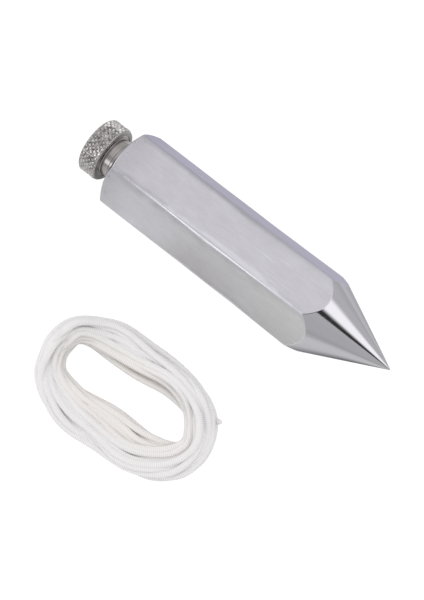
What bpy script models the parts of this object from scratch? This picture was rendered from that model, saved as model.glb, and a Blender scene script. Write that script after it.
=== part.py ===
"""Plumb bob: a hexagonal steel body with a turned point, a knurled screw cap and a hank of line.

Run with: blender --background --python part.py

Metres, +Z up. The bob lies on one flat of its hexagon at z = 0, with its axis along X from the cap
(-X) to the point (+X). The origin is below the middle of the bob. The line lies beside it, on -Y.
"""

import math

import bmesh
import bpy

MM = 0.001

# Body: hexagonal bar
ACROSS_FLATS = 21.0 * MM
BAR_LENGTH = 62.6 * MM  # between the two ends of a long corner edge
END_CHAMFER_ANGLE = 30.0  # degrees from the flat end
END_FACE_RADIUS = 10.1 * MM

# Body: turned point
POINT_HALF_ANGLE = 26.2  # degrees
POINT_RADIUS = 0.15 * MM  # the blunt end of the point

# Screw cap
HEAD_RADIUS = 8.1 * MM
HEAD_THICKNESS = 5.6 * MM
HEAD_CHAMFER = 0.5 * MM
NECK_RADIUS = 5.65 * MM
NECK_LENGTH = 4.45 * MM
UNDERCUT_RADIUS = 3.2 * MM
UNDERCUT_LENGTH = 1.0 * MM
SHANK_END_CHAMFER = 0.3 * MM
LINE_HOLE_RADIUS = 1.3 * MM
LINE_HOLE_MOUTH_RADIUS = 2.1 * MM
SEAT_GAP = 0.3 * MM  # between the neck's shoulder and the body's end

# Thread, M8 x 1.25
PITCH = 1.25 * MM
THREAD_DEPTH = 0.6 * MM
SHANK_ROOT_RADIUS = 3.35 * MM
TAPPED_ROOT_RADIUS = 4.15 * MM
THREAD_LENGTH = 8.0 * MM
TAPPED_LENGTH = 10.0 * MM
KNOT_CHAMBER_LENGTH = 6.0 * MM
KNOT_CHAMBER_RADIUS = 3.5 * MM
DRILL_POINT_HALF_ANGLE = 59.0  # degrees
MOUTH_CHAMFER = 0.5 * MM

# Hank of braided line
LINE_DIAMETER = 1.4 * MM
LINE_TURNS = 26
HANK_FILL = 0.86  # how much of the bundle's section is line
HANK_STATIONS = [  # x, y and width of the bundle of turns in mm, going round its loop
    (-21.0, -45.8, 6.2),
    (-19.1, -40.5, 6.9),
    (-12.2, -36.9, 10.3),
    (-2.0, -36.0, 9.6),
    (8.0, -35.1, 7.4),
    (15.6, -36.2, 7.1),
    (20.9, -39.8, 7.4),
    (23.7, -46.2, 7.3),
    (20.5, -52.0, 10.2),
    (12.0, -55.4, 12.5),
    (2.0, -55.7, 12.8),
    (-8.0, -56.9, 11.2),
    (-16.7, -55.0, 8.5),
    (-20.3, -50.4, 6.0),
]

# How finely round things are faceted
BAR_SEGMENTS = 96
CAP_SEGMENTS = 40
TAPPED_SEGMENTS = 32
LINE_HOLE_SEGMENTS = 20
ROWS_PER_PITCH = 6
HANK_STEPS = 56
HANK_SECTION_POINTS = 12
PAST = 1.0 * MM  # how far a cutter runs past what it cuts

# Worked out from the sizes above
CORNER_RADIUS = ACROSS_FLATS / math.sqrt(3)
AXIS_HEIGHT = ACROSS_FLATS / 2
POINT_LENGTH = (CORNER_RADIUS - POINT_RADIUS) / math.tan(math.radians(POINT_HALF_ANGLE))
CHAMFER_SLOPE = math.tan(math.radians(END_CHAMFER_ANGLE))
END_FACE_SETBACK = (CORNER_RADIUS - END_FACE_RADIUS) * CHAMFER_SLOPE
CAP_HEIGHT = HEAD_THICKNESS + NECK_LENGTH + SEAT_GAP  # above the body's end face
OVERALL_LENGTH = CAP_HEIGHT + END_FACE_SETBACK + BAR_LENGTH + POINT_LENGTH

X_CAP_TOP = -OVERALL_LENGTH / 2
X_HEAD_UNDERSIDE = X_CAP_TOP + HEAD_THICKNESS
X_SHOULDER = X_HEAD_UNDERSIDE + NECK_LENGTH
X_END_FACE = X_SHOULDER + SEAT_GAP
X_BAR_START = X_END_FACE + END_FACE_SETBACK
X_BAR_END = X_BAR_START + BAR_LENGTH
X_POINT = X_BAR_END + POINT_LENGTH


def clear_scene():
    for old in list(bpy.data.objects):
        bpy.data.objects.remove(old)


def metal(name, colour, roughness):
    return principled(name, colour, roughness, metallic=1.0)


def principled(name, colour, roughness, metallic):
    made = bpy.data.materials.new(name)
    made.use_nodes = True
    shader = made.node_tree.nodes["Principled BSDF"]
    shader.inputs["Base Color"].default_value = (*colour, 1.0)
    shader.inputs["Roughness"].default_value = roughness
    shader.inputs["Metallic"].default_value = metallic
    made.diffuse_color = (*colour, 1.0)
    return made


def object_from_rings(name, rings, material=None, closed_loop=False):
    """A closed body skinned over rings of equally many points, with its ends capped or joined in a loop."""
    mesh = bpy.data.meshes.new(name)
    shape = bmesh.new()
    rows = [[shape.verts.new(point) for point in ring] for ring in rings]
    count = len(rows[0])
    pairs = list(zip(rows, rows[1:]))
    if closed_loop:
        pairs.append((rows[-1], rows[0]))
    for near, far in pairs:
        for i in range(count):
            j = (i + 1) % count
            shape.faces.new((near[i], near[j], far[j], far[i]))
    if not closed_loop:
        shape.faces.new(list(reversed(rows[0])))
        shape.faces.new(rows[-1])
    bmesh.ops.recalc_face_normals(shape, faces=shape.faces)
    shape.to_mesh(mesh)
    shape.free()
    mesh.shade_smooth()
    mesh.set_sharp_from_angle(angle=math.radians(25))
    made = bpy.data.objects.new(name, mesh)
    bpy.context.scene.collection.objects.link(made)
    if material:
        mesh.materials.append(material)
    return made


def ring_about_axis(x, radius, segments):
    """Points round the bob's axis at x. radius is a number, or a function of x and the angle about +X."""
    points = []
    for i in range(segments):
        angle = 2 * math.pi * i / segments
        r = radius(x, angle) if callable(radius) else radius
        points.append((x, r * math.cos(angle), AXIS_HEIGHT + r * math.sin(angle)))
    return points


def turned(name, profile, segments, material=None):
    """A solid of revolution about the bob's axis, from (x, radius) points in order of x."""
    return object_from_rings(name, [ring_about_axis(x, r, segments) for x, r in profile], material)


def as_cutter(made):
    made.hide_render = True
    made.display_type = "WIRE"
    return made


def boolean(target, other, operation):
    step = target.modifiers.new(f"{operation.lower()}_{other.name}", "BOOLEAN")
    step.operation = operation
    step.solver = "EXACT"
    step.object = as_cutter(other)


def thread_profile(x_start, x_end, root_radius, ridge, ridge_at):
    """(x, radius) rows of a right-hand thread: a ridge this high on a wall, or standing inward if negative.

    ridge_at is where the ridge stands in each pitch, from 0 to 1. It fades in over a pitch at each end.
    """

    def radius(x, angle):
        fade = min(1.0, (x - x_start) / PITCH, (x_end - x) / PITCH)
        turns = (x - X_END_FACE) / PITCH - angle / (2 * math.pi) - ridge_at
        return root_radius + ridge * fade * (1 + math.cos(2 * math.pi * turns)) / 2

    rows = round((x_end - x_start) / PITCH * ROWS_PER_PITCH)
    return [(x_start + (x_end - x_start) * k / rows, radius) for k in range(rows + 1)]


def make_body(steel):
    """Hexagonal bar, chamfered at the cap end, turned to a point at the other, with a tapped blind hole."""
    prism = [ring_about_axis(x, CORNER_RADIUS, 6) for x in (X_END_FACE, X_POINT)]
    body = object_from_rings("hex_body", prism, steel)
    outside = CORNER_RADIUS + PAST
    outline = [
        (X_END_FACE, END_FACE_RADIUS),
        (X_BAR_START + PAST * CHAMFER_SLOPE, outside),
        (X_BAR_END - PAST / math.tan(math.radians(POINT_HALF_ANGLE)), outside),
        (X_POINT, POINT_RADIUS),
    ]
    boolean(body, turned("turning_outline", outline, BAR_SEGMENTS), "INTERSECT")
    boolean(body, make_tapped_hole(), "DIFFERENCE")
    return body


def make_tapped_hole():
    mouth_radius = TAPPED_ROOT_RADIUS + MOUTH_CHAMFER
    thread_start = X_END_FACE + MOUTH_CHAMFER
    thread_end = X_END_FACE + TAPPED_LENGTH
    chamber_end = thread_end + KNOT_CHAMBER_LENGTH
    drill_depth = KNOT_CHAMBER_RADIUS / math.tan(math.radians(DRILL_POINT_HALF_ANGLE))
    profile = [(X_END_FACE - PAST, mouth_radius), (X_END_FACE, mouth_radius)]
    profile += thread_profile(thread_start, thread_end, TAPPED_ROOT_RADIUS, -THREAD_DEPTH, 0.5)
    profile += [
        (thread_end + MOUTH_CHAMFER, KNOT_CHAMBER_RADIUS),
        (chamber_end, KNOT_CHAMBER_RADIUS),
        (chamber_end + 0.9 * drill_depth, 0.1 * KNOT_CHAMBER_RADIUS),
    ]
    return turned("tapped_hole", profile, TAPPED_SEGMENTS)


def make_cap(steel):
    """Knurled head, plain neck and threaded shank, turned from one bar and drilled through for the line."""
    rim = HEAD_RADIUS - HEAD_CHAMFER
    thread_start = X_SHOULDER + UNDERCUT_LENGTH
    thread_end = X_SHOULDER + THREAD_LENGTH
    x_shank_end = thread_end + SHANK_END_CHAMFER
    profile = [
        (X_CAP_TOP, rim),
        (X_CAP_TOP + HEAD_CHAMFER, HEAD_RADIUS),
        (X_HEAD_UNDERSIDE - HEAD_CHAMFER, HEAD_RADIUS),
        (X_HEAD_UNDERSIDE, rim),
        (X_HEAD_UNDERSIDE, NECK_RADIUS),
        (X_SHOULDER, NECK_RADIUS),
        (X_SHOULDER, UNDERCUT_RADIUS),
        (thread_start - SHANK_END_CHAMFER, UNDERCUT_RADIUS),
    ]
    profile += thread_profile(thread_start, thread_end, SHANK_ROOT_RADIUS, THREAD_DEPTH, 0.0)
    profile += [(x_shank_end, SHANK_ROOT_RADIUS - SHANK_END_CHAMFER)]
    cap = turned("cap_screw", profile, CAP_SEGMENTS, steel)
    mouth_depth = LINE_HOLE_MOUTH_RADIUS - LINE_HOLE_RADIUS
    hole = [
        (X_CAP_TOP - PAST, LINE_HOLE_MOUTH_RADIUS),
        (X_CAP_TOP, LINE_HOLE_MOUTH_RADIUS),
        (X_CAP_TOP + mouth_depth, LINE_HOLE_RADIUS),
        (x_shank_end + PAST, LINE_HOLE_RADIUS),
    ]
    boolean(cap, turned("line_hole", hole, LINE_HOLE_SEGMENTS), "DIFFERENCE")
    return cap


def hank_station(share):
    """x, y and width of the bundle part of the way round, on a smooth curve through its stations."""
    base, u = divmod(share * len(HANK_STATIONS), 1)
    near = [HANK_STATIONS[(int(base) + k) % len(HANK_STATIONS)] for k in (-1, 0, 1, 2)]
    station = []
    for a, b, c, d in zip(*near):
        value = b + u * (c - a) / 2 + u**2 * (a - 2.5 * b + 2 * c - d / 2)
        station.append(MM * (value + u**3 * (1.5 * (b - c) + (d - a) / 2)))
    return station


def make_hank(nylon):
    """The outer shape of all the turns: a ring whose oval section keeps its area as its width changes."""
    bundle_area = LINE_TURNS * math.pi * (LINE_DIAMETER / 2) ** 2 / HANK_FILL
    stations = [hank_station(i / HANK_STEPS) for i in range(HANK_STEPS)]
    rings = []
    for i, (x, y, width) in enumerate(stations):
        before, after = stations[i - 1], stations[(i + 1) % HANK_STEPS]
        ahead_x, ahead_y = after[0] - before[0], after[1] - before[1]
        size = math.hypot(ahead_x, ahead_y)
        height = 4 * bundle_area / (math.pi * width)
        ring = []
        for k in range(HANK_SECTION_POINTS):
            angle = 2 * math.pi * k / HANK_SECTION_POINTS
            across, up = width / 2 * math.cos(angle), height / 2 * (1 + math.sin(angle))
            ring.append((x - ahead_y / size * across, y + ahead_x / size * across, up))
        rings.append(ring)
    return object_from_rings("line_hank", rings, nylon, closed_loop=True)


def build():
    clear_scene()
    make_body(metal("satin_nickel_plate", (0.62, 0.62, 0.64), 0.28))
    make_cap(metal("bright_nickel_plate", (0.58, 0.56, 0.55), 0.22))
    make_hank(principled("white_braided_nylon", (0.86, 0.86, 0.87), 0.6, 0.0))


build()
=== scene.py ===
"""The looks of a plumb bob: satin hexagonal body, polished point, knurled screw cap and braided line.

Metres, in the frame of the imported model: +X from the cap to the point, +Z up, resting on z = 0.
"""

import math

import bpy
import numpy as np
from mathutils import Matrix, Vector


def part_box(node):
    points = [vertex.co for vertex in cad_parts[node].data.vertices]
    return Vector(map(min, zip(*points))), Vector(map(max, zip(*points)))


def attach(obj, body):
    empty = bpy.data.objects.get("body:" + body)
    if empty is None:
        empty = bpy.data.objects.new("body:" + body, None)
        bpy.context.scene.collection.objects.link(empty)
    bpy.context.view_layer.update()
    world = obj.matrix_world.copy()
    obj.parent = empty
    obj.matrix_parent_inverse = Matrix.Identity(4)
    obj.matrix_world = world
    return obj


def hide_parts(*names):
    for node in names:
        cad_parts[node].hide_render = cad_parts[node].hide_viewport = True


MM = 0.001

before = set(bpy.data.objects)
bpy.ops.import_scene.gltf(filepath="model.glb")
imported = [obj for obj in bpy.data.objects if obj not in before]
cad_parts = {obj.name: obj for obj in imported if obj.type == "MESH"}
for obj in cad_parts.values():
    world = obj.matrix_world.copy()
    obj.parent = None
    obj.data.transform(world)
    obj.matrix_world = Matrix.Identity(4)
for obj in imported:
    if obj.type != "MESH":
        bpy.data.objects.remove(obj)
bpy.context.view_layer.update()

# ---------------------------------------------------------------- sizes, from the frame where it has them
BODY_LOW, BODY_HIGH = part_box("hex_body")
CAP_LOW, CAP_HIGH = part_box("cap_screw")

ACROSS_FLATS = BODY_HIGH.z - BODY_LOW.z
AXIS_HEIGHT = (BODY_HIGH.z + BODY_LOW.z) / 2
CORNER_RADIUS = ACROSS_FLATS / math.sqrt(3)
X_END_FACE = BODY_LOW.x
X_POINT = BODY_HIGH.x
X_CAP_TOP = CAP_LOW.x
X_SHANK_END = CAP_HIGH.x
HEAD_RADIUS = (CAP_HIGH.z - CAP_LOW.z) / 2

END_CHAMFER_SLOPE = math.tan(math.radians(30))
END_FACE_RADIUS = 10.1 * MM
POINT_HALF_ANGLE = math.radians(26.2)
POINT_RADIUS = 0.15 * MM
POINT_RINGS = 24  # mesh rows on the cone, past the ends of the flats
BAR_ROWS = 33
COLUMNS_TO_MIDDLE = 15  # from a long edge to the middle of a flat
SHARP_EDGE = 260.0  # how sharp the bar's long edges are at their ends
WORN_EDGE = 30.0  # and about halfway, where they are worn most
EDGE_BREAK = 0.2 * MM  # where a turned face meets a flat
BESIDE = 0.04 * MM  # a mesh row this near an edge keeps the edge's shading to itself

HEAD_THICKNESS = 5.6 * MM
HEAD_CHAMFER = 0.5 * MM
NECK_RADIUS = 5.65 * MM
NECK_LENGTH = 4.45 * MM
UNDERCUT_RADIUS = 3.2 * MM
UNDERCUT_LENGTH = 1.0 * MM
SHANK_END_CHAMFER = 0.3 * MM
LINE_HOLE_RADIUS = 1.3 * MM
LINE_HOLE_MOUTH_RADIUS = 2.1 * MM

PITCH = 1.25 * MM
THREAD_DEPTH = 0.6 * MM
SHANK_ROOT_RADIUS = 3.35 * MM
TAPPED_ROOT_RADIUS = 4.15 * MM
TAPPED_LENGTH = 10.0 * MM
KNOT_CHAMBER_LENGTH = 6.0 * MM
KNOT_CHAMBER_RADIUS = 3.5 * MM
DRILL_HALF_ANGLE = math.radians(59)
MOUTH_CHAMFER = 0.5 * MM
THREAD_ROWS_PER_PITCH = 10

X_BAR_START = X_END_FACE + (CORNER_RADIUS - END_FACE_RADIUS) * END_CHAMFER_SLOPE
X_CONE_TIP = X_POINT + POINT_RADIUS / math.tan(POINT_HALF_ANGLE)
X_BAR_END = X_CONE_TIP - CORNER_RADIUS / math.tan(POINT_HALF_ANGLE)
X_HEAD_UNDERSIDE = X_CAP_TOP + HEAD_THICKNESS
X_SHOULDER = X_HEAD_UNDERSIDE + NECK_LENGTH

# ---------------------------------------------------------------- camera
CAMERA_AZIMUTH = math.radians(40.18)
CAMERA_ELEVATION = math.radians(68.93)
CAMERA_DISTANCE = 348.3 * MM
CAMERA_LENS = 80.2  # mm, on a 36 mm sensor along the picture's long side
CAMERA_TARGET = Vector((1.6, -12.8, 4.74)) * MM


def add_camera():
    data = bpy.data.cameras.new("camera")
    data.lens = CAMERA_LENS
    data.sensor_width = 36
    data.clip_start, data.clip_end = 0.01, 20
    camera = bpy.data.objects.new("camera", data)
    bpy.context.scene.collection.objects.link(camera)
    level = math.cos(CAMERA_ELEVATION)
    back = Vector(
        (
            math.sin(CAMERA_AZIMUTH) * level,
            -math.cos(CAMERA_AZIMUTH) * level,
            math.sin(CAMERA_ELEVATION),
        )
    )
    camera.location = CAMERA_TARGET + back * CAMERA_DISTANCE
    camera.rotation_mode = "QUATERNION"
    camera.rotation_quaternion = (-back).to_track_quat("-Z", "Y")
    bpy.context.scene.camera = camera


# ---------------------------------------------------------------- mesh helpers
def add_mesh(name, points, faces, materials, face_materials=None, flat_faces=None):
    """A smooth mesh from arrays. flat_faces marks the faces that are shaded flat."""
    mesh = bpy.data.meshes.new(name)
    mesh.from_pydata(np.asarray(points).tolist(), [], [list(map(int, f)) for f in faces])
    for material in materials:
        mesh.materials.append(material)
    mesh.shade_smooth()
    if face_materials is not None:
        mesh.polygons.foreach_set("material_index", np.asarray(face_materials, np.int32))
    if flat_faces is not None:
        mesh.polygons.foreach_set("use_smooth", ~np.asarray(flat_faces, bool))
    mesh.update()
    made = bpy.data.objects.new(name, mesh)
    bpy.context.scene.collection.objects.link(made)
    return made


def bands_between(rows, count, closed=False):
    """Quads that join each row of count points to the next; closed joins the last row to the first."""
    i = np.arange(count)
    j = (i + 1) % count
    bands = []
    for row in range(rows if closed else rows - 1):
        here, there = row * count, (row + 1) % rows * count
        bands.append(np.stack([here + i, there + i, there + j, here + j], 1))
    return np.concatenate(bands)


def about_axis(x, radius, angles):
    """Points round the bob's axis. x and radius are numbers, or one value for each angle."""
    x = np.broadcast_to(x, angles.shape)
    return np.stack([x, radius * np.cos(angles), AXIS_HEIGHT + radius * np.sin(angles)], 1)


def thread_rows(x_start, x_end, root_radius, ridge, ridge_at, angles):
    """(x, radius) rows of a right-hand thread: a ridge that fades in over a pitch at each end."""
    count = round((x_end - x_start) / PITCH * THREAD_ROWS_PER_PITCH)
    rows = []
    for x in np.linspace(x_start, x_end, count + 1):
        fade = min(1.0, (x - x_start) / PITCH, (x_end - x) / PITCH)
        turns = (x - X_END_FACE) / PITCH - angles / (2 * np.pi) - ridge_at
        rows.append((x, root_radius + ridge * fade * (1 + np.cos(2 * np.pi * turns)) / 2))
    return rows


# ---------------------------------------------------------------- body
def section_angles():
    """Angles about the axis for the bar's mesh columns, denser towards its long edges."""
    half_width = CORNER_RADIUS / 2
    from_edge = half_width * np.linspace(0, 1, COLUMNS_TO_MIDDLE) ** 2.2
    from_middle = np.arctan((half_width - from_edge) / (ACROSS_FLATS / 2))
    one_flat = np.concatenate([-from_middle, from_middle[-2:0:-1]]) + math.radians(30)
    return np.concatenate([one_flat + math.radians(60) * side for side in range(6)])


def edge_sharpness(share, side):
    """How sharp a long edge is, part of the way along the bar: polishing rounded its middle, unevenly."""
    wear = math.sin(math.pi * share**1.25) ** 2 * (1 + 0.3 * math.sin(9 * share + 2.1 * side))
    wear *= 1 + 0.15 * math.sin(23 * share + 1.3 * side)
    return 1 / (1 / SHARP_EDGE + max(wear, 0) / WORN_EDGE)


def hexagon_radius(angles, share):
    """Radius of the bar's section: a hexagon whose corners are rounded by blending its sides."""
    corner = np.round(angles / math.radians(60)).astype(int) % 6
    sharpness = np.array([edge_sharpness(share, side) for side in range(6)])[corner]
    from_corner = angles - np.round(angles / math.radians(60)) * math.radians(60)
    sides = [np.cos(from_corner + way * math.radians(30)) ** sharpness for way in (-1, 1)]
    return ACROSS_FLATS / 2 * (sides[0] + sides[1]) ** (-1 / sharpness)


def make_body(satin, polished, bored):
    angles = section_angles()
    count = len(angles)
    section = hexagon_radius(angles, 0)
    lean = math.tan(POINT_HALF_ANGLE)

    def cone(x):
        return (x, (X_CONE_TIP - x) * lean)

    def chamfer(radius):
        return (X_BAR_START - (CORNER_RADIUS - radius) * END_CHAMFER_SLOPE, radius)

    thread_start = X_END_FACE + MOUTH_CHAMFER
    thread_end = X_END_FACE + TAPPED_LENGTH
    chamber_end = thread_end + KNOT_CHAMBER_LENGTH
    drill_depth = KNOT_CHAMBER_RADIUS / math.tan(DRILL_HALF_ANGLE)
    tapped = thread_rows(thread_start, thread_end, TAPPED_ROOT_RADIUS, -THREAD_DEPTH, 0.5, angles)
    hole = [
        (chamber_end + 0.9 * drill_depth, 0.1 * KNOT_CHAMBER_RADIUS),
        (chamber_end + BESIDE, KNOT_CHAMBER_RADIUS - 2 * BESIDE),
        (chamber_end, KNOT_CHAMBER_RADIUS),
        (chamber_end - 2 * BESIDE, KNOT_CHAMBER_RADIUS),
        (thread_end + MOUTH_CHAMFER, KNOT_CHAMBER_RADIUS),
        *reversed(tapped),
        (X_END_FACE + BESIDE, TAPPED_ROOT_RADIUS + MOUTH_CHAMFER - BESIDE),
    ]
    rim = END_FACE_RADIUS + EDGE_BREAK
    end_face = [
        (X_END_FACE, TAPPED_ROOT_RADIUS + MOUTH_CHAMFER),
        (X_END_FACE, TAPPED_ROOT_RADIUS + MOUTH_CHAMFER + BESIDE),
        (X_END_FACE, END_FACE_RADIUS - EDGE_BREAK - BESIDE),
        (X_END_FACE, END_FACE_RADIUS - EDGE_BREAK),
        chamfer(rim),
        chamfer(rim + BESIDE),
        chamfer(section - EDGE_BREAK - BESIDE),
        chamfer(section - EDGE_BREAK),
    ]
    bar_start = X_BAR_START - (CORNER_RADIUS - section) * END_CHAMFER_SLOPE + EDGE_BREAK
    bar_end = X_CONE_TIP - section / lean - EDGE_BREAK
    near = BESIDE / (X_BAR_END - X_BAR_START)
    shares = (0, near, *np.linspace(0, 1, BAR_ROWS)[1:-1], 1 - near, 1)
    bar = [(bar_start + (bar_end - bar_start) * s, hexagon_radius(angles, s)) for s in shares]
    cone_start = bar_end + 2 * EDGE_BREAK
    first_ring = X_CONE_TIP - ACROSS_FLATS / 2 / lean + 1 * MM
    point = [cone(cone_start), cone(cone_start + BESIDE)]
    point += [cone(cone_start + (first_ring - cone_start) * s) for s in (0.35, 0.7)]
    nearing_tip = 1 - (1 - np.linspace(0, 1, POINT_RINGS)) ** 1.6
    point += [cone(first_ring + (X_POINT - first_ring) * s) for s in nearing_tip]
    point += [(X_POINT + 0.3 * POINT_RADIUS, 0.6 * POINT_RADIUS)]

    rows = hole + end_face + bar + point
    surfaces = [2] * len(hole) + [1] * len(end_face) + [0] * len(bar) + [1] * len(point)
    points = np.concatenate([about_axis(x, radius, angles) for x, radius in rows])
    faces = bands_between(len(rows), count).tolist()
    faces += [list(range(count)), list(reversed(range(len(points) - count, len(points))))]
    face_surfaces = [*np.repeat(surfaces[:-1], count), 2, 1]
    return add_mesh("hexagonal_body", points, faces, [satin, polished, bored], face_surfaces)


# ---------------------------------------------------------------- cap
KNURL_DIAMONDS = 36  # round the head
KNURL_STEPS = 8  # mesh steps along each side of a diamond
KNURL_DEPTH = 0.4 * MM
KNURL_CREST = 0.75  # the share of a full pyramid at which its top is flattened
UNDERSIDE_RING_RADIUS = 6.4 * MM
UNDERSIDE_RING_WIDTH = 0.5 * MM
UNDERSIDE_RING_DEPTH = 0.15 * MM
NECK_GROOVE_FROM_HEAD = 2.35 * MM
NECK_GROOVE_WIDTH = 0.22 * MM
NECK_GROOVE_DEPTH = 0.05 * MM
BORED_ROWS = 8  # the first rows of the cap's profile, which are in its hole


def rounded_profile(corners, steps=4):
    """(x, radius) rows through (x, radius, rounding) corners, with an arc of that rounding at each."""
    rows = []
    for k, (x, radius, rounding) in enumerate(corners):
        here = np.array([x, radius])
        if rounding == 0 or k in (0, len(corners) - 1):
            rows.append((x, radius))
            continue
        back = np.array(corners[k - 1][:2]) - here
        ahead = np.array(corners[k + 1][:2]) - here
        back /= np.linalg.norm(back)
        ahead /= np.linalg.norm(ahead)
        half = math.acos(np.clip(back @ ahead, -1, 1)) / 2
        reach = rounding / math.tan(half)
        middle = here + (back + ahead) / np.linalg.norm(back + ahead) * rounding / math.sin(half)
        first, last = here + back * reach - middle, here + ahead * reach - middle
        turn = math.pi - 2 * half
        rows.append(tuple(here + back * (reach + BESIDE)))
        for s in np.linspace(0, 1, steps + 1):
            spoke = (first * math.sin((1 - s) * turn) + last * math.sin(s * turn)) / math.sin(turn)
            rows.append(tuple(middle + spoke))
        rows.append(tuple(here + ahead * (reach + BESIDE)))
    return rows


def knurl_height(across, along, sizes):
    """Height from 0 to about 1 of a diamond knurl, at distances round and along the head in diamonds."""
    places = (across + along, across - along)
    ramps = [1 - np.abs(2 * (place % 1) - 1) for place in places]
    height = np.minimum(np.minimum(*ramps), KNURL_CREST) / KNURL_CREST
    first, second = (np.floor(place + 1e-6).astype(int) % len(sizes) for place in places)
    return height * sizes[first, second]


def knurl_band(angles, rng):
    """Rows of the knurl between the head's two chamfers, and triangles that keep to its grooves.

    The triangles count their points from the first row.
    """
    x_start, x_end = X_CAP_TOP + HEAD_CHAMFER, X_HEAD_UNDERSIDE - HEAD_CHAMFER
    pitch = 2 * math.pi * HEAD_RADIUS / KNURL_DIAMONDS
    steps = round((x_end - x_start) / pitch * KNURL_STEPS)
    sizes = np.clip(1 + 0.2 * rng.standard_normal((KNURL_DIAMONDS, KNURL_DIAMONDS)), 0.55, 1.2)
    count = len(angles)
    across, along = np.meshgrid(np.arange(count), np.arange(steps + 1))
    height = knurl_height(across / KNURL_STEPS, along / KNURL_STEPS, sizes)
    middle = knurl_height((across[:-1] + 0.5) / KNURL_STEPS, (along[:-1] + 0.5) / KNURL_STEPS, sizes)
    rows = [
        (x, HEAD_RADIUS - KNURL_DEPTH * (1 - np.minimum(row, 1)))
        for x, row in zip(np.linspace(x_start, x_end, steps + 1), height)
    ]
    after = np.roll(height, -1, axis=1)
    rising_error = np.abs((height[:-1] + after[1:]) / 2 - middle)
    falling_error = np.abs((after[:-1] + height[1:]) / 2 - middle)
    rising = rising_error <= falling_error
    here = along[:-1] * count + across[:-1]
    there = here + count
    here_next = along[:-1] * count + (across[:-1] + 1) % count
    there_next = here_next + count
    triangles = [
        np.stack([here, there, there_next], -1)[rising],
        np.stack([here, there_next, here_next], -1)[rising],
        np.stack([here, there, here_next], -1)[~rising],
        np.stack([there, there_next, here_next], -1)[~rising],
    ]
    return rows, np.concatenate(triangles)


def make_cap(turned, knurled, bored):
    rng = np.random.default_rng(7)
    count = KNURL_DIAMONDS * KNURL_STEPS
    angles = 2 * np.pi * np.arange(count) / count
    rim = HEAD_RADIUS - HEAD_CHAMFER
    thread_start = X_SHOULDER + UNDERCUT_LENGTH
    thread_end = X_SHANK_END - SHANK_END_CHAMFER
    mouth_depth = LINE_HOLE_MOUTH_RADIUS - LINE_HOLE_RADIUS
    top = rounded_profile(
        [
            (X_CAP_TOP + mouth_depth + 1 * MM, LINE_HOLE_RADIUS, 0),
            (X_CAP_TOP + mouth_depth, LINE_HOLE_RADIUS, 0.2 * MM),
            (X_CAP_TOP, LINE_HOLE_MOUTH_RADIUS, 0.15 * MM),
            (X_CAP_TOP, rim, 0.12 * MM),
            (X_CAP_TOP + HEAD_CHAMFER, HEAD_RADIUS, 0),
        ]
    )[:-1]
    knurl, triangles = knurl_band(angles, rng)
    ring, half = UNDERSIDE_RING_RADIUS, UNDERSIDE_RING_WIDTH / 2
    groove, groove_half = X_HEAD_UNDERSIDE + NECK_GROOVE_FROM_HEAD, NECK_GROOVE_WIDTH / 2
    neck = rounded_profile(
        [
            (X_HEAD_UNDERSIDE - HEAD_CHAMFER, HEAD_RADIUS, 0),
            (X_HEAD_UNDERSIDE, rim, 0.12 * MM),
            (X_HEAD_UNDERSIDE, ring + half, 0.06 * MM),
            (X_HEAD_UNDERSIDE - UNDERSIDE_RING_DEPTH, ring, 0.1 * MM),
            (X_HEAD_UNDERSIDE, ring - half, 0.06 * MM),
            (X_HEAD_UNDERSIDE, NECK_RADIUS, 0.2 * MM),
            (groove - groove_half, NECK_RADIUS, 0.05 * MM),
            (groove, NECK_RADIUS - NECK_GROOVE_DEPTH, 0.05 * MM),
            (groove + groove_half, NECK_RADIUS, 0.05 * MM),
            (X_SHOULDER, NECK_RADIUS, 0.12 * MM),
            (X_SHOULDER, UNDERCUT_RADIUS, 0.15 * MM),
            (thread_start - SHANK_END_CHAMFER, UNDERCUT_RADIUS, 0),
        ]
    )[1:]
    shank = thread_rows(thread_start, thread_end, SHANK_ROOT_RADIUS, THREAD_DEPTH, 0.0, angles)
    hole = rounded_profile(
        [
            (thread_end, SHANK_ROOT_RADIUS, 0),
            (X_SHANK_END, SHANK_ROOT_RADIUS - SHANK_END_CHAMFER, 0.05 * MM),
            (X_SHANK_END, LINE_HOLE_RADIUS + 0.1 * MM, 0.05 * MM),
            (X_SHANK_END - 0.1 * MM, LINE_HOLE_RADIUS, 0),
        ]
    )[1:]
    rows = top + knurl + neck + shank + hole
    surfaces = [0] * len(top) + [1] * (len(knurl) - 1) + [0] * (len(rows) - len(top) - len(knurl) + 1)
    surfaces[:BORED_ROWS] = [2] * BORED_ROWS
    surfaces[-1] = 2
    points = np.concatenate([about_axis(x, radius, angles) for x, radius in rows])
    faces = bands_between(len(rows), count, closed=True)
    face_surfaces = np.repeat(surfaces, count)
    plain = face_surfaces != 1
    faces = faces[plain].tolist() + (triangles + len(top) * count).tolist()
    face_surfaces = np.concatenate([face_surfaces[plain], np.ones(len(triangles), int)])
    return add_mesh("screw_cap", points, faces, [turned, knurled, bored], face_surfaces, face_surfaces == 1)


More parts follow.
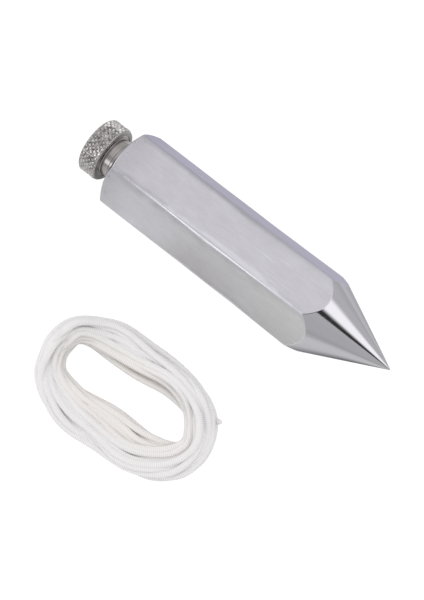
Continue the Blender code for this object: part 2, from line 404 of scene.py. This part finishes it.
# ---------------------------------------------------------------- line
LINE_DIAMETER = 1.4 * MM
LINE_TURNS = 26
HANK_STATIONS = np.array(  # round the hank: x, y and width of its bundle of turns, in mm
    [
        (-21.0, -45.8, 6.2),
        (-19.1, -40.5, 6.9),
        (-12.2, -36.9, 10.3),
        (-2.0, -36.0, 9.6),
        (8.0, -35.1, 7.4),
        (15.6, -36.2, 7.1),
        (20.9, -39.8, 7.4),
        (23.7, -46.2, 7.3),
        (20.5, -52.0, 10.2),
        (12.0, -55.4, 12.5),
        (2.0, -55.7, 12.8),
        (-8.0, -56.9, 11.2),
        (-16.7, -55.0, 8.5),
        (-20.3, -50.4, 6.0),
    ]
)
HANK_MIDDLE = (1.07 * MM, -47.2 * MM, 3 * MM)
HANK_REACH = (22.2 * MM, 10.4 * MM, 30 * MM)  # to the middle of the bundle
HANK_FILL = 0.86  # how much of the bundle's section is line
LINE_SPACING = 1.1 * MM  # the braid is soft, so neighbours lie nearer than its diameter
LINE_STEP = 1.0 * MM  # between the points that the line is relaxed at
HANK_TWISTS = ((1, 0.5, 0.6), (2, 0.45, 2.1))  # waves in a turn, radians and phase of the bundle's twisting
HANK_DRIFTS = ((1.3, 0.13), (2.7, 0.09), (4.9, 0.05))  # waves in a turn, and how far a turn of line drifts
STEPS_PER_TURN = 180
LOOSE_END_AT = 0.428  # how far round the hank its loose end comes out
LOOSE_END_PLACE = (1.6, 0.25)  # across and up the bundle, where its edge is at 1
HIDDEN_END_PLACE = (-0.2, -0.9)
END_TURN = 0.05  # the share of a turn in which an end leaves the others
SETTLE_STEPS = 300
STEPS_PER_SEARCH = 8  # how often the touching parts of the line are looked for again
POINTS_AT_ONCE = 512  # compared with all the others in such a search
PUSH_SHARE = 0.3  # of an overlap, undone in each step on each side
LARGEST_PUSH = 0.3 * MM
SINK_STEP = 0.01 * MM
RETURN_SHARE = 0.995  # of what a point has moved, kept from one step to the next
BRAID_SIDES = 8
BRAID_STEP = 0.25 * MM
BRAID_FLATTENED = (0.98 * MM, 0.62 * MM)  # half the soft braid's width and height in the hank
ROUND_RINGS = 30  # the rings over which the braid goes from flattened to round, towards its ends
BRAID_RELIEF = 0.05 * MM


def hank_at(share):
    """The middle of the hank's bundle part of the way round, the level way outwards, and its width."""
    count = len(HANK_STATIONS)
    base = np.floor(share * count).astype(int)
    u = (share * count - base)[:, None]
    before, here, after, beyond = (HANK_STATIONS[(base + k) % count] for k in (-1, 0, 1, 2))
    slope, slope_after = (after - before) / 2, (beyond - here) / 2
    value = (
        here * (1 + 2 * u) * (1 - u) ** 2
        + slope * u * (1 - u) ** 2
        + after * u**2 * (3 - 2 * u)
        + slope_after * u**2 * (u - 1)
    )
    ahead = 6 * u * (u - 1) * (here - after) + (1 - u) * (1 - 3 * u) * slope
    ahead += u * (3 * u - 2) * slope_after
    out = np.stack([-ahead[:, 1], ahead[:, 0]], 1)
    out /= np.linalg.norm(out, axis=1, keepdims=True)
    return value[:, :2] * MM, out, value[:, 2] * MM


def spaced(line, step):
    """The line again, with its points step apart."""
    along = np.concatenate([[0], np.cumsum(np.linalg.norm(np.diff(line, axis=0), axis=1))])
    at = np.linspace(0, along[-1], round(along[-1] / step) + 1)
    return np.stack([np.interp(at, along, line[:, k]) for k in range(3)], 1)


def wound_line(rng):
    """The line as it was wound: each turn keeps its place in the bundle, then drifts to the next one.

    It starts at its loose end, which sticks out of the bundle, and runs against the stations' order.
    """
    turns = np.arange(LINE_TURNS * STEPS_PER_TURN + 1) / STEPS_PER_TURN
    middle, out, width = hank_at(LOOSE_END_AT - turns)
    order = np.arange(LINE_TURNS + 1)
    radius = np.sqrt((order + 0.5) / (LINE_TURNS + 1))
    golden = order * np.pi * (3 - math.sqrt(5))
    places = np.stack([radius * np.cos(golden), radius * np.sin(golden)], 1)
    about = np.arctan2(places[:, 1], places[:, 0])
    places = places[np.argsort(about + rng.uniform(0, 0.9, LINE_TURNS + 1))]
    base = np.minimum(turns.astype(int), LINE_TURNS - 1)
    share = (turns - base)[:, None]
    share = share * share * (3 - 2 * share)
    place = places[base] * (1 - share) + places[base + 1] * share
    for waves, size in HANK_DRIFTS:
        for axis in range(2):
            phase = rng.uniform(0, 2 * np.pi)
            drift = 2 * np.pi * turns * waves + phase + 2.5 * np.sin(turns * 0.7 + phase)
            place[:, axis] += size * np.sin(drift)
    round_hank = 2 * np.pi * (LOOSE_END_AT - turns)
    twist = sum(size * np.sin(waves * round_hank + phase) for waves, size, phase in HANK_TWISTS)
    place = np.stack(
        [
            place[:, 0] * np.cos(twist) - place[:, 1] * np.sin(twist),
            place[:, 0] * np.sin(twist) + place[:, 1] * np.cos(twist),
        ],
        1,
    )
    for distance, end_place in ((turns, LOOSE_END_PLACE), (turns[-1] - turns, HIDDEN_END_PLACE)):
        near_end = np.clip(1 - distance / END_TURN, 0, 1)[:, None] ** 2
        place = place * (1 - near_end) + np.array(end_place) * near_end
    area = LINE_TURNS * np.pi * (LINE_DIAMETER / 2) ** 2 / HANK_FILL
    height = 4 * area / (np.pi * width)
    across = (width - LINE_DIAMETER) / 2 * place[:, 0]
    up = height / 2 + (height - LINE_DIAMETER) / 2 * place[:, 1]
    return spaced(np.column_stack([middle + out * across[:, None], up]), LINE_STEP)


def near_pairs(points, reach, apart):
    """Pairs of points within reach of each other and more than apart steps from each other on the line."""
    points = points.astype(np.float32)
    square = (points * points).sum(1)
    found = []
    for start in range(0, len(points), POINTS_AT_ONCE):
        block = slice(start, start + POINTS_AT_ONCE)
        far = square[block, None] + square[None] - 2 * points[block] @ points.T
        i, j = np.nonzero(far < reach * reach)
        i += start
        found.append(np.stack([i[j - i > apart], j[j - i > apart]], 1))
    return np.concatenate(found).T


def smoothed(values, passes):
    """Values along the line, each pass blending a point with its neighbours."""
    for _ in range(passes):
        padded = np.concatenate([values[:1], values, values[-1:]])
        values = (padded[:-2] + 2 * values + padded[2:]) / 4
    return values


def settle(wound):
    """Lets the wound line sink a little under its weight, pushing apart any parts that lie inside others.

    The line is stiff enough to hold its shape: how far each point has moved changes smoothly along it.
    """
    count = len(wound)
    moved = np.zeros_like(wound)
    for step in range(SETTLE_STEPS):
        line = wound + moved
        if step % STEPS_PER_SEARCH == 0:
            pairs = near_pairs(line, 1.3 * LINE_SPACING, 3)
        gap = line[pairs[1]] - line[pairs[0]]
        far = np.linalg.norm(gap, axis=1)
        touching = far < LINE_SPACING
        i, j = pairs[:, touching]
        apart = LINE_SPACING / np.maximum(far[touching], 1e-9) - 1
        push = gap[touching] * (PUSH_SHARE * apart)[:, None]
        shift = [np.bincount(j, push[:, k], count) - np.bincount(i, push[:, k], count) for k in range(3)]
        moved += np.clip(np.stack(shift, 1), -LARGEST_PUSH, LARGEST_PUSH)
        moved[:, 2] -= SINK_STEP
        moved *= RETURN_SHARE
        moved = smoothed(moved, 2)
        moved[:, 2] = np.maximum(moved[:, 2], BRAID_FLATTENED[1] + BRAID_RELIEF - wound[:, 2])
    return wound + moved


def smooth_curve(points, step):
    """A cubic B-spline guided by the points, with points step apart along it."""
    ends = np.concatenate([2 * points[:1] - points[1:2], points, 2 * points[-1:] - points[-2:-1]])
    u = np.linspace(0, 1, 6)[:-1][None, :, None]
    a, b, c, d = (ends[k : len(ends) - 3 + k, None] for k in range(4))
    curve = a * (1 - u) ** 3 + b * (3 * u**3 - 6 * u**2 + 4)
    curve = curve + c * (-3 * u**3 + 3 * u**2 + 3 * u + 1) + d * u**3
    return spaced((curve / 6).reshape(-1, 3), step)


def make_line(nylon):
    rng = np.random.default_rng(4)
    path = smooth_curve(settle(wound_line(rng)), BRAID_STEP)
    ahead = np.gradient(path, axis=0)
    side = np.cross(ahead, (0.0, 0.0, 1.0))
    side /= np.linalg.norm(side, axis=1, keepdims=True)
    up = np.cross(side, ahead)
    up /= np.linalg.norm(up, axis=1, keepdims=True)
    turn = 2 * np.pi * np.arange(BRAID_SIDES) / BRAID_SIDES
    ring = np.arange(len(path))
    from_end = np.minimum(ring, ring[::-1])
    flatness = np.clip(from_end / ROUND_RINGS, 0, 1)[:, None]
    rounding = np.sqrt(np.clip((from_end + 0.6) / 3, 0, 1))[:, None]
    relief = BRAID_RELIEF * (-1.0) ** ring[:, None]
    round_half = LINE_DIAMETER / 2 * (1 - flatness)
    half_width, half_height = (
        rounding * (round_half + flattened * flatness + relief) for flattened in BRAID_FLATTENED
    )
    points = path[:, None] + (half_width * np.cos(turn))[:, :, None] * side[:, None]
    points += (half_height * np.sin(turn))[:, :, None] * up[:, None]
    faces = bands_between(len(path), BRAID_SIDES).tolist()
    last = len(path) * BRAID_SIDES
    faces += [list(range(BRAID_SIDES)), list(reversed(range(last - BRAID_SIDES, last)))]
    line = add_mesh("braided_line", points.reshape(-1, 3), faces, [nylon])
    rib = line.data.attributes.new("rib", "FLOAT", "POINT")
    rib.data.foreach_set("value", np.repeat(ring % 2, BRAID_SIDES).astype(np.float32))
    return line


# ---------------------------------------------------------------- materials
def new_material(name, colour, roughness, metallic):
    """A material, its node tree and its Principled shader."""
    made = bpy.data.materials.new(name)
    made.use_nodes = True
    tree = made.node_tree
    shader = tree.nodes["Principled BSDF"]
    shader.inputs["Base Color"].default_value = (*colour, 1)
    shader.inputs["Roughness"].default_value = roughness
    shader.inputs["Metallic"].default_value = metallic
    return made, tree, shader


def add_node(tree, kind, **values):
    """A node with some of its inputs set by name."""
    node = tree.nodes.new(kind)
    for name, value in values.items():
        node.inputs[name.replace("_", " ")].default_value = value
    return node


def object_place(tree):
    """Where a point of the piece is, in metres."""
    return tree.nodes.new("ShaderNodeTexCoord").outputs["Object"]


def coordinates(tree):
    """X, Y and Z of a point of the piece."""
    parts = tree.nodes.new("ShaderNodeSeparateXYZ")
    tree.links.new(object_place(tree), parts.inputs["Vector"])
    return parts.outputs


def math_node(tree, operation, *values):
    node = tree.nodes.new("ShaderNodeMath")
    node.operation = operation
    for socket, value in zip(node.inputs, values):
        if isinstance(value, (int, float)):
            socket.default_value = value
        else:
            tree.links.new(value, socket)
    return node.outputs["Value"]


def product(tree, *values):
    result = values[0]
    for value in values[1:]:
        result = math_node(tree, "MULTIPLY", result, value)
    return result


def length_of(tree, vector):
    node = tree.nodes.new("ShaderNodeVectorMath")
    node.operation = "LENGTH"
    tree.links.new(vector, node.inputs[0])
    return node.outputs["Value"]


def from_hank_middle(tree):
    """How far out a point is from the hank's middle: 1 about at the middle of its bundle."""
    about = add_node(tree, "ShaderNodeMapping", Location=HANK_MIDDLE, Scale=HANK_REACH)
    about.vector_type = "TEXTURE"
    tree.links.new(object_place(tree), about.inputs["Vector"])
    return length_of(tree, about.outputs["Vector"])


def stretched_noise(tree, per_mm, detail=3.0, roughness=0.55):
    """A noise whose features are this many per mm along X, Y and Z of the piece."""
    scale = add_node(tree, "ShaderNodeMapping", Scale=[n / MM for n in per_mm])
    noise = add_node(tree, "ShaderNodeTexNoise", Scale=1.0, Detail=detail, Roughness=roughness)
    tree.links.new(object_place(tree), scale.inputs["Vector"])
    tree.links.new(scale.outputs["Vector"], noise.inputs["Vector"])
    return noise.outputs["Fac"]


def remapped(tree, value, low, high, from_low=0.3, from_high=0.7, smooth=False):
    """value, which runs from from_low to from_high, rescaled to run from low to high."""
    node = tree.nodes.new("ShaderNodeMapRange")
    limits = {"From Min": from_low, "From Max": from_high, "To Min": low, "To Max": high}
    for name, limit in limits.items():
        node.inputs[name].default_value = limit
    if smooth:
        node.interpolation_type = "SMOOTHSTEP"
    tree.links.new(value, node.inputs["Value"])
    return node.outputs["Result"]


def mixed(tree, factor, first, second, blend_type="MIX"):
    """A colour from first to second as factor goes from 0 to 1. Each of the three is a value or a socket."""
    node = tree.nodes.new("ShaderNodeMix")
    node.data_type = "RGBA"
    node.blend_type = blend_type
    for name, value in (("Factor", factor), ("A", first), ("B", second)):
        if isinstance(value, tuple):
            node.inputs[name].default_value = (*value, 1)
        elif isinstance(value, float):
            node.inputs[name].default_value = value
        else:
            tree.links.new(value, node.inputs[name])
    return node.outputs["Result"]


def mixed_number(tree, factor, first, second):
    """A number from the first, a socket, to the second as factor goes from 0 to 1."""
    node = tree.nodes.new("ShaderNodeMix")
    tree.links.new(factor, node.inputs["Factor"])
    tree.links.new(first, node.inputs["A"])
    node.inputs["B"].default_value = second
    return node.outputs["Result"]


def camera_ray(tree):
    return tree.nodes.new("ShaderNodeLightPath").outputs["Is Camera Ray"]


def add_bump(tree, shader, heights):
    """Bumps from (height, depth) pairs, with depth in metres, one on top of another."""
    normal = None
    for height, depth in heights:
        bump = add_node(tree, "ShaderNodeBump", Strength=1.0, Distance=depth)
        tree.links.new(height, bump.inputs["Height"])
        if normal:
            tree.links.new(normal, bump.inputs["Normal"])
        normal = bump.outputs["Normal"]
    tree.links.new(normal, shader.inputs["Normal"])


def scaled(colour, by):
    return tuple(c * by for c in colour)


PLATE = (0.46, 0.455, 0.475)
SATIN = (0.55, 0.542, 0.58)
SATIN_DULL = (0.492, 0.486, 0.508)
SATIN_EDGE_TINT = (0.58, 0.57, 0.68)
POLISH_EDGE_TINT = (0.58, 0.58, 0.62)
TURNED_BRIGHT, TURNED_DARK = (0.45, 0.43, 0.42), (0.22, 0.205, 0.2)
KNURL_BRIGHT, KNURL_DARK = (0.64, 0.625, 0.62), (0.25, 0.235, 0.23)
BORE = (0.3, 0.29, 0.285)
NYLON = (0.9, 0.89, 0.88)
NYLON_PAINTED_WARM_SHADE, NYLON_PAINTED_COOL_LIGHT = (0.888, 0.859, 0.828), (0.877, 0.868, 0.869)  # painted light: warm shade inside the hank's loop, cool light outside it
NYLON_RIB_SHADE = (0.85, 0.845, 0.84)
PAINTED_HIGHLIGHT_WIDTH = 1.7 * MM  # of the painted highlight band beside the bar's worn edge, at its widest


def painted_highlight_band(tree):
    """1 in the band of the top flat beside its -Y edge where a highlight is painted."""
    where = coordinates(tree)
    widening = remapped(tree, where["X"], -0.1, 1, X_BAR_START + 4 * MM, X_BAR_START + 38 * MM)
    narrowing = remapped(tree, where["X"], 1, 0.1, X_BAR_END - 16 * MM, X_BAR_END - 5 * MM)
    width = product(tree, widening, narrowing, PAINTED_HIGHLIGHT_WIDTH)
    wander = remapped(tree, stretched_noise(tree, (0.4, 0.05, 0.05), detail=6), -0.25 * MM, 0.25 * MM)
    width = math_node(tree, "ADD", width, wander)
    inward = math_node(tree, "ADD", where["Y"], CORNER_RADIUS / 2)
    depth = math_node(tree, "SUBTRACT", width, inward)
    band = remapped(tree, depth, 0, 1, -0.35 * MM, 0.35 * MM)
    on_top = remapped(tree, where["Z"], 0, 1, ACROSS_FLATS - 0.7 * MM, ACROSS_FLATS - 0.35 * MM)
    return product(tree, band, on_top)


def painted_dark_reflection_beside_edges(tree, colour):
    """The colour made darker in an uneven band on each side of the bar's two upper edges: a painted darker
    reflection.
    """
    where = coordinates(tree)
    from_edge = math_node(tree, "ABSOLUTE", where["Y"])
    from_edge = math_node(tree, "ABSOLUTE", math_node(tree, "SUBTRACT", from_edge, CORNER_RADIUS / 2))
    wander = remapped(tree, stretched_noise(tree, (0.3, 0.6, 0.6), detail=6), -0.4 * MM, 0.4 * MM)
    near = remapped(tree, math_node(tree, "ADD", from_edge, wander), 0.6, 0, 0.2 * MM, 1.4 * MM)
    upper = remapped(tree, where["Z"], 0, 1, AXIS_HEIGHT, AXIS_HEIGHT + 2 * MM)
    fading = remapped(tree, where["X"], 1, 0.55, X_BAR_START + 20 * MM, X_BAR_END)
    return mixed(tree, product(tree, near, upper, fading), colour, scaled(SATIN, 0.62))


def painted_warm_reflection_low_side(tree, colour):
    """The colour made warmer and a little lighter on the lower -Y flat, more so towards the point: a painted
    warm reflection.
    """
    where = coordinates(tree)
    side = remapped(tree, where["Y"], 1, 0, -CORNER_RADIUS / 2 - 0.4 * MM, -CORNER_RADIUS / 2)
    towards_point = remapped(tree, where["X"], 0, 1, X_BAR_START, X_BAR_END)
    return mixed(tree, product(tree, side, towards_point), colour, (1.09, 1.105, 1.05), "MULTIPLY")


def satin_plate():
    """Nickel plate on the bar's flats: satin, mottled, scratched and nicked in places, with polishing lines
    along it, and painted shade, a painted highlight and painted reflections.
    """
    made, tree, shader = new_material("satin_plate", SATIN, 0.3, 1)
    shader.inputs["Specular Tint"].default_value = (*SATIN_EDGE_TINT, 1)
    mottle = stretched_noise(tree, (0.2, 0.35, 0.35), detail=8, roughness=0.7)
    streaks = stretched_noise(tree, (0.25, 1.8, 1.8), detail=6, roughness=0.65)
    grit = stretched_noise(tree, (3, 3.5, 3.5), detail=2)
    cloud = math_node(tree, "MULTIPLY_ADD", mottle, 0.45, product(tree, streaks, 0.35))
    cloud = math_node(tree, "MULTIPLY_ADD", grit, 0.2, cloud)
    colour = mixed(tree, remapped(tree, cloud, 0, 1, 0.38, 0.62), SATIN, SATIN_DULL)
    scratches = remapped(tree, stretched_noise(tree, (0.09, 2.4, 2.4), detail=3), 0, 0.55, 0.64, 0.72)
    patches = remapped(tree, stretched_noise(tree, (0.07, 0.12, 0.12), detail=2), 0, 1, 0.48, 0.56)
    colour = mixed(tree, product(tree, scratches, patches), colour, scaled(SATIN, 1.3))
    spots = remapped(tree, stretched_noise(tree, (1.1, 1.1, 1.1), detail=3), 0, 1, 0.64, 0.7)
    along_bar = coordinates(tree)["X"]
    at_end = remapped(tree, along_bar, 0.7, 0, X_BAR_START + 0.5 * MM, X_BAR_START + 3 * MM)
    colour = mixed(tree, product(tree, spots, at_end), colour, scaled(SATIN, 0.45))
    # painted shade: the flats are made darker near the cap end
    cap_end_painted_shade = remapped(tree, along_bar, 1, 0, X_BAR_START + 0.5 * MM, X_BAR_START + 8 * MM)
    colour = mixed(tree, cap_end_painted_shade, colour, (0.88, 0.88, 0.88), "MULTIPLY")
    # painted reflections: darker beside the upper edges, warmer and lighter on the lower -Y flat
    colour = painted_warm_reflection_low_side(tree, painted_dark_reflection_beside_edges(tree, colour))
    # painted highlight: the band beside the -Y edge is made lighter, standing in for the rounded edge's
    # reflection of a bright lamp
    colour = mixed(tree, product(tree, painted_highlight_band(tree), 0.7), colour, scaled(SATIN, 1.16))
    tree.links.new(colour, shader.inputs["Base Color"])
    tree.links.new(remapped(tree, cloud, 0.25, 0.36), shader.inputs["Roughness"])
    lines = stretched_noise(tree, (0.25, 7, 7), detail=4)
    grain = stretched_noise(tree, (8, 8, 8), detail=2)
    add_bump(tree, shader, [(lines, 0.002 * MM), (grain, 0.001 * MM)])
    return made


def polished_plate():
    """The same plate on turned faces: nearly a mirror, with the faint rings of turning.

    A thin dark line is painted under the end of the top flat, where the cone cuts it: a painted dark
    reflection.
    """
    made, tree, shader = new_material("polished_plate", PLATE, 0.1, 1)
    shader.inputs["Specular Tint"].default_value = (*POLISH_EDGE_TINT, 1)
    rings = stretched_noise(tree, (9, 0.02, 0.02), detail=4)
    cloud = stretched_noise(tree, (0.4, 0.4, 0.4), detail=4)
    tree.links.new(remapped(tree, cloud, 0.07, 0.13), shader.inputs["Roughness"])
    where = coordinates(tree)
    # painted dark reflection: a thin dark line under the end of the top flat
    painted_line_height = remapped(tree, where["Z"], 0, 1, ACROSS_FLATS - 0.22 * MM, ACROSS_FLATS - 0.08 * MM)
    near_side = remapped(tree, where["Y"], 1, 0, -2.5 * MM, -1 * MM)
    at_point = math_node(tree, "GREATER_THAN", where["X"], 0.0)
    line = product(tree, painted_line_height, near_side, at_point)
    tree.links.new(mixed(tree, line, PLATE, scaled(PLATE, 0.15)), shader.inputs["Base Color"])
    add_bump(tree, shader, [(rings, 0.0005 * MM)])
    return made


def turned_plate():
    """The cap's turned faces, with coarser rings than the point has."""
    made, tree, shader = new_material("turned_plate", PLATE, 0.16, 1)
    rings = stretched_noise(tree, (7, 0.02, 0.02), detail=5, roughness=0.7)
    colour = mixed(tree, remapped(tree, rings, 0, 1), TURNED_BRIGHT, TURNED_DARK)
    tree.links.new(colour, shader.inputs["Base Color"])
    tree.links.new(remapped(tree, rings, 0.12, 0.24), shader.inputs["Roughness"])
    add_bump(tree, shader, [(rings, 0.002 * MM)])
    return made


def knurled_plate():
    """The knurl: bright metal with darker, rougher patches."""
    made, tree, shader = new_material("knurled_plate", PLATE, 0.2, 1)
    grime = stretched_noise(tree, (1.3, 1.3, 1.3), detail=4)
    colour = mixed(tree, remapped(tree, grime, 0, 1), KNURL_BRIGHT, KNURL_DARK)
    tree.links.new(colour, shader.inputs["Base Color"])
    tree.links.new(remapped(tree, grime, 0.1, 0.26), shader.inputs["Roughness"])
    grain = stretched_noise(tree, (6, 6, 6), detail=2)
    add_bump(tree, shader, [(grain, 0.012 * MM)])
    return made


def bored_steel():
    """Unplated bores and threads."""
    made, tree, shader = new_material("bored_steel", BORE, 0.35, 1)
    rings = stretched_noise(tree, (8, 0.05, 0.05), detail=4)
    tree.links.new(remapped(tree, rings, 0.28, 0.45), shader.inputs["Roughness"])
    add_bump(tree, shader, [(rings, 0.003 * MM)])
    return made


def braided_nylon():
    """White nylon yarn, with painted warm shade inside the hank's loop and painted cool light outside it,
    and a fine rib across it with painted shade in its valleys.
    """
    made, tree, shader = new_material("braided_nylon", NYLON, 0.65, 0)
    shader.inputs["Specular IOR Level"].default_value = 0.25
    yarn = remapped(tree, stretched_noise(tree, (0.12, 0.12, 0.12), detail=4), -0.15, 0.15)
    outward = math_node(tree, "ADD", remapped(tree, from_hank_middle(tree), 0, 1, 0.75, 1.15), yarn)
    # painted light: warm shade inside the hank's loop, cool light outside
    colour = mixed(tree, outward, NYLON_PAINTED_WARM_SHADE, NYLON_PAINTED_COOL_LIGHT)
    # painted shade in the valleys of the braid's rib
    rib = tree.nodes.new("ShaderNodeAttribute")
    rib.attribute_name = "rib"
    shade = mixed(tree, rib.outputs["Fac"], NYLON_RIB_SHADE, (1.0, 1.0, 1.0))
    tree.links.new(mixed(tree, 1.0, colour, shade, "MULTIPLY"), shader.inputs["Base Color"])
    return made


# ---------------------------------------------------------------- stage and light
FLOOR_REACH = 3.0
FLOOR_DROP = 0.02 * MM  # keeps the sheet clear of the faces that rest on z = 0
FLOOR_BRIGHTNESS = 0.97  # as the camera sees it
SURROUNDINGS_TINT = (0.995, 0.99, 1.0)


def add_floor():
    """A white sheet that glows. The camera sees it evenly lit.

    To everything else it is dimmer far off, and has a painted shadow close beside the bob and under and
    inside the hank.
    """
    corners = [(x * FLOOR_REACH, y * FLOOR_REACH, 0) for x, y in ((-1, -1), (1, -1), (1, 1), (-1, 1))]
    material, tree, shader = new_material("floor_white", (0.12, 0.12, 0.12), 1.0, 0)
    shader.inputs["Specular IOR Level"].default_value = 0.0
    shader.inputs["Emission Color"].default_value = (1, 1, 1, 1)
    far_off = remapped(tree, length_of(tree, object_place(tree)), 0.95, 0.68, 0.06, 0.2, smooth=True)
    where = coordinates(tree)
    beyond = math_node(tree, "SUBTRACT", math_node(tree, "ABSOLUTE", where["X"]), 0.8 * X_POINT)
    beyond = math_node(tree, "MAXIMUM", beyond, 0.0)
    squares = [product(tree, value, value) for value in (beyond, where["Y"])]
    from_bob = math_node(tree, "SQRT", math_node(tree, "ADD", *squares))
    # painted shadow on the glowing floor, beside the bob and under and inside the hank
    bob_painted_shadow = remapped(tree, from_bob, 0.3, 1.0, 4 * MM, 20 * MM, smooth=True)
    hank_painted_shadow = remapped(tree, from_hank_middle(tree), 0.45, 1, 1.2, 1.8)
    glow = product(tree, far_off, bob_painted_shadow, hank_painted_shadow)
    seen = mixed_number(tree, camera_ray(tree), glow, FLOOR_BRIGHTNESS)
    tree.links.new(seen, shader.inputs["Emission Strength"])
    floor = add_mesh("floor", corners, [(0, 1, 2, 3)], [material])
    floor.location.z = -FLOOR_DROP


def towards(azimuth, elevation):
    """A direction, from its degrees round from +X towards +Y and its degrees above the floor."""
    a, e = math.radians(azimuth), math.radians(elevation)
    return Vector((math.cos(a) * math.cos(e), math.sin(a) * math.cos(e), math.sin(e)))


def dot_with(tree, vector, direction):
    node = tree.nodes.new("ShaderNodeVectorMath")
    node.operation = "DOT_PRODUCT"
    tree.links.new(vector, node.inputs[0])
    node.inputs[1].default_value = direction
    return node.outputs["Value"]


def card_mask(tree, vector, start, end, width, softness):
    """1 where a far-off card is seen that runs from one direction to another, and 0 where it isn't.

    width is in degrees; softness holds how soft its start, its end and its sides are.
    """
    centre = (start + end).normalized()
    along = (end - start).normalized()
    across = centre.cross(along)
    facing = math_node(tree, "MAXIMUM", dot_with(tree, vector, centre), 0.001)
    half = math.tan(start.angle(end) / 2)
    half_width = math.tan(math.radians(width) / 2)
    edges = ((-along, half, softness[0]), (along, half, softness[1]))
    edges += ((-across, half_width, softness[2]), (across, half_width, softness[2]))
    mask = None
    for direction, reach, soft in edges:
        off = math_node(tree, "DIVIDE", dot_with(tree, vector, direction), facing)
        edge = remapped(tree, off, 0.0, 1.0, reach + soft, reach - soft, smooth=True)
        mask = product(tree, mask, edge) if mask else edge
    return mask


SKY = ((-0.2, 0.76), (0.0, 0.76), (0.25, 0.84), (0.65, 0.86), (0.93, 1.12))  # height and brightness
CARDS = [  # from and to (azimuth, elevation), width, softness of its start, end and sides, brightness
    ((-5, 46), (43.5, 34), 40, (0.01, 0.15, 0.1), 1.92),
    ((-16.5, 43.8), (4.5, 46.7), 44, (0.02, 0.11, 0.05), 0.05),
    ((-132, 56), (-118, 42), 26, (0.12, 0.1, 0.1), 0.72),
    ((-106, 12), (-108, 33), 36, (0.07, 0.07, 0.12), 2.3),
    ((165, 20), (-155, 20), 30, (0.1, 0.1, 0.1), 2.0),
]


def add_world():
    """A pale studio with soft lights and a black card. The camera itself sees plain white."""
    world = bpy.data.worlds.new("studio")
    world.use_nodes = True
    bpy.context.scene.world = world
    tree = world.node_tree
    vector = tree.nodes.new("ShaderNodeTexCoord").outputs["Generated"]
    height = dot_with(tree, vector, (0, 0, 1))
    ramp = tree.nodes.new("ShaderNodeFloatCurve")
    curve = ramp.mapping.curves[0]
    ramp.mapping.use_clip = False
    for point, (at, value) in zip([curve.points[0], curve.points[1]], (SKY[0], SKY[-1])):
        point.location = at, value
    for at, value in SKY[1:-1]:
        curve.points.new(at, value)
    ramp.mapping.update()
    tree.links.new(height, ramp.inputs["Value"])
    beside = dot_with(tree, vector, (0, 1, 0))
    brightness = math_node(tree, "MULTIPLY_ADD", beside, 0.07, ramp.outputs["Value"])
    for start, end, width, softness, card_brightness in CARDS:
        mask = card_mask(tree, vector, towards(*start), towards(*end), width, softness)
        brightness = mixed_number(tree, mask, brightness, card_brightness)
    background = tree.nodes["Background"]
    background.inputs["Color"].default_value = (*SURROUNDINGS_TINT, 1)
    seen = mixed_number(tree, camera_ray(tree), brightness, 1.0)
    tree.links.new(seen, background.inputs["Strength"])


# ---------------------------------------------------------------- the scene
def place(piece, rides_on, stands_for, takes_finish_from):
    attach(piece, rides_on)
    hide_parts(stands_for)


bpy.context.scene.view_settings.view_transform = "Standard"
add_camera()
place(make_line(braided_nylon()), "line", "line_hank", "white_line")
bored = bored_steel()
place(make_body(satin_plate(), polished_plate(), bored), "bob", "hex_body", "satin_body")
place(make_cap(turned_plate(), knurled_plate(), bored), "cap", "cap_screw", "bright_cap")
add_floor()
add_world()
